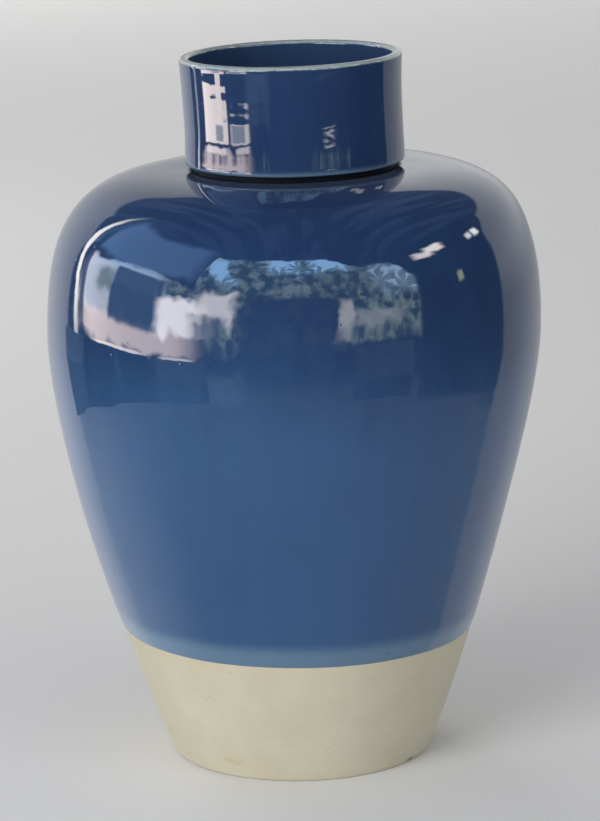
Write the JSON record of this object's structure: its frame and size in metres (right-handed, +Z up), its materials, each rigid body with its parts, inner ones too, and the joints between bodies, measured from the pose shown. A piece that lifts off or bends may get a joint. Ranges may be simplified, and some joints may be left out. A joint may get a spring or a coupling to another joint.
{
  "type": "flower vase",
  "caption": "Tall shouldered stoneware vase that holds cut stems in water, with an upright collar, a blue glaze and a bare clay foot.",
  "frame": {"origin": "centre of the foot, on the plane that the vase stands on", "axes": "+Z up along the axis of turning; the vase is round, so +X and +Y are free"},
  "size_m": [0.3205, 0.3206, 0.46],
  "materials": {
    "bare_clay": "unglazed buff stoneware, dry and matt, with fine grog and a few dark specks",
    "blue_glaze": "deep blue gloss glaze, breaking to a pale grey-green where it is thin on an edge",
    "pale_hem_glaze": "thin grey-blue gloss glaze at the lower edge of the coat",
    "liner_glaze": "dark blue gloss glaze inside"
  },
  "bodies": {
    "root": {"base_slab": "bare_clay", "lower_wall": "bare_clay", "upper_wall": "bare_clay", "collar": "bare_clay", "floor_coil": "bare_clay", "seam_band": "bare_clay", "body_glaze": "blue_glaze", "glaze_hem": "pale_hem_glaze", "collar_glaze": "blue_glaze", "liner_glaze": "liner_glaze"}
  },
  "joints": []
}
